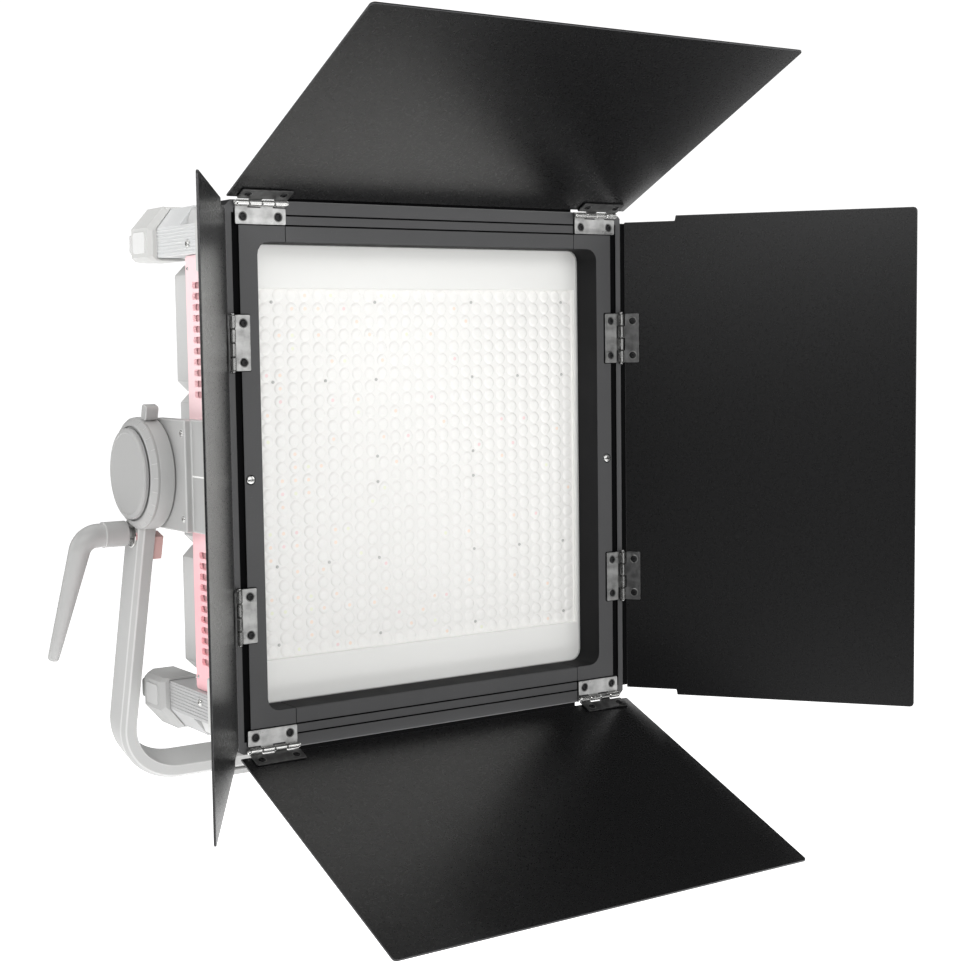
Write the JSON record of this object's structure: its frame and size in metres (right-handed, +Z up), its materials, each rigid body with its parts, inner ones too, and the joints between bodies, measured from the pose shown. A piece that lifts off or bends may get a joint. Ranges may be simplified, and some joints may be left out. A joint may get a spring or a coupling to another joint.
{
  "type": "led panel light",
  "caption": "Rectangular studio LED panel light with vented side panels, rear guard rails, a tilting yoke with a clamp lever, and hinged barn-door leaves around the window.",
  "frame": {"origin": "centre of the mouth of the stand receiver under the yoke", "axes": "+Z up, -Y the way the lamp shines, +X to the right seen from in front; the head stands upright and the yoke leans back 17 degrees"},
  "size_m": [0.6084, 0.46, 0.6068],
  "materials": {
    "frame_charcoal": "satin charcoal coat",
    "leaf_black": "satin black coat",
    "hinge_nickel": "brushed nickel",
    "body_pale_grey": "fine satin pale grey coat",
    "yoke_grey": "satin grey coat",
    "lever_grey": "satin grey coat",
    "guard_pale": "ribbed satin",
    "cap_rubber": "matte pale rubber",
    "side_panel_rose": "soft rose satin",
    "latch_rose": "soft rose",
    "window_white": "white satin",
    "lens_white": "white lens sheet",
    "board_white": "white board",
    "board_green": "circuit board",
    "heat_sink_alloy": "plain",
    "control_dark": "dark",
    "display_glass": "glossy",
    "receiver_steel": "satin",
    "screw_dark": "dark"
  },
  "bodies": {
    "yoke": {"yoke": "yoke_grey", "yoke_foot": "yoke_grey", "stand_receiver": "receiver_steel"},
    "leaf_top": {"leaf_top": "leaf_black", "hinge_leaf_top_a": "hinge_nickel", "hinge_leaf_top_b": "hinge_nickel"},
    "leaf_right": {"leaf_right": "leaf_black", "hinge_leaf_right_a": "hinge_nickel", "hinge_leaf_right_b": "hinge_nickel"},
    "leaf_bottom": {"leaf_bottom": "leaf_black", "hinge_leaf_bottom_a": "hinge_nickel", "hinge_leaf_bottom_b": "hinge_nickel"},
    "leaf_left": {"leaf_left": "leaf_black", "hinge_leaf_left_a": "hinge_nickel", "hinge_leaf_left_b": "hinge_nickel"},
    "receiver_screw": {"receiver_screw": "screw_dark"},
    "tilt_lever": {"tilt_lever": "lever_grey"},
    "lock_tab": {"lock_tab": "lever_grey"},
    "release_latch": {"release_latch": "latch_rose"},
    "knob_a": {"knob_a": "control_dark"},
    "knob_b": {"knob_b": "control_dark"},
    "menu_button": {"menu_button": "control_dark"},
    "power_switch": {"power_switch": "control_dark"},
    "fan_upper": {"fan_upper": "control_dark"},
    "fan_lower": {"fan_lower": "control_dark"},
    "head": {"body_shell": "body_pale_grey", "control_box": "body_pale_grey", "corner_cap_lower_left": "cap_rubber", "corner_cap_lower_right": "cap_rubber", "corner_cap_upper_left": "cap_rubber", "corner_cap_upper_right": "cap_rubber", "display": "display_glass", "driver_board": "board_green", "frame_rail_bottom": "frame_charcoal", "frame_rail_top": "frame_charcoal", "frame_stile_left": "frame_charcoal", "frame_stile_right": "frame_charcoal", "guard_lower": "guard_pale", "guard_upper": "guard_pale", "heat_sink": "heat_sink_alloy", "hinge_frame_bottom_a": "hinge_nickel", "hinge_frame_bottom_b": "hinge_nickel", "hinge_frame_left_a": "hinge_nickel", "hinge_frame_left_b": "hinge_nickel", "hinge_frame_right_a": "hinge_nickel", "hinge_frame_right_b": "hinge_nickel", "hinge_frame_top_a": "hinge_nickel", "hinge_frame_top_b": "hinge_nickel", "led_board": "board_white", "lens_sheet": "lens_white", "pivot_bracket_left": "body_pale_grey", "pivot_bracket_right": "body_pale_grey", "pivot_cap_left": "yoke_grey", "pivot_cap_right": "yoke_grey", "power_inlet": "control_dark", "rear_cover_lower": "body_pale_grey", "rear_cover_upper": "body_pale_grey", "side_panel_left": "side_panel_rose", "side_panel_right": "side_panel_rose", "window_frame": "window_white"}
  },
  "joints": [
    {"name": "head_tilt", "type": "hinge", "parent": "yoke", "child": "head", "pos_m": [0, -0.09333, 0.30525], "axis": [1, 0, 0], "range_deg": [-73, 29]},
    {"name": "leaf_top_swing", "type": "hinge", "parent": "head", "child": "leaf_top", "pos_m": [0, -0.21513, 0.49995], "axis": [1, 0, 0], "range_deg": [-69.5, 25.5]},
    {"name": "leaf_right_swing", "type": "hinge", "parent": "head", "child": "leaf_right", "pos_m": [0.1726, -0.21513, 0.30525], "axis": [0, 0, -1], "range_deg": [-57, 98]},
    {"name": "leaf_bottom_swing", "type": "hinge", "parent": "head", "child": "leaf_bottom", "pos_m": [0, -0.21513, 0.11055], "axis": [-1, 0, 0], "range_deg": [-73, 22]},
    {"name": "leaf_left_swing", "type": "hinge", "parent": "head", "child": "leaf_left", "pos_m": [-0.1726, -0.21513, 0.30525], "axis": [0, 0, 1], "range_deg": [-66.1, 103.9]},
    {"name": "tilt_lever_turn", "type": "hinge", "parent": "yoke", "child": "tilt_lever", "pos_m": [-0.205, -0.07914, 0.25887], "axis": [1, 0, 0], "range_deg": [-10, 80]},
    {"name": "lock_tab_lift", "type": "slide", "parent": "yoke", "child": "lock_tab", "axis": [0, -0.2924, 0.9563], "range_m": [0, 0.004], "stiffness_N_per_m": 600, "springref_m": -0.001},
    {"name": "release_latch_squeeze", "type": "hinge", "parent": "yoke", "child": "release_latch", "pos_m": [-0.179, -0.07856, 0.25696], "axis": [1, 0, 0], "range_deg": [0, 15], "stiffness_Nm_per_rad": 0.2, "springref_deg": -2.86},
    {"name": "receiver_screw_turn", "type": "hinge", "parent": "yoke", "child": "receiver_screw", "pos_m": [0, 0.02226, 0.02981], "axis": [0, 0.9563, 0.2924], "range_deg": [-180, 180]},
    {"name": "knob_a_turn", "type": "hinge", "parent": "head", "child": "knob_a", "pos_m": [0.062, -0.06632, 0.31725], "axis": [0, 1, 0], "continuous": true},
    {"name": "knob_b_turn", "type": "hinge", "parent": "head", "child": "knob_b", "pos_m": [0.108, -0.06632, 0.31725], "axis": [0, 1, 0], "continuous": true},
    {"name": "menu_button_press", "type": "slide", "parent": "head", "child": "menu_button", "axis": [0, -1, 0], "range_m": [0, 0.0015], "stiffness_N_per_m": 300, "springref_m": -0.0005},
    {"name": "power_switch_rock", "type": "hinge", "parent": "head", "child": "power_switch", "pos_m": [-0.112, -0.06732, 0.32725], "axis": [1, 0, 0], "range_deg": [-8, 8]},
    {"name": "fan_upper_spin", "type": "hinge", "parent": "head", "child": "fan_upper", "pos_m": [0, -0.10433, 0.41415], "axis": [0, 1, 0], "continuous": true},
    {"name": "fan_lower_spin", "type": "hinge", "parent": "head", "child": "fan_lower", "pos_m": [0, -0.10433, 0.19635], "axis": [0, 1, 0], "continuous": true}
  ]
}
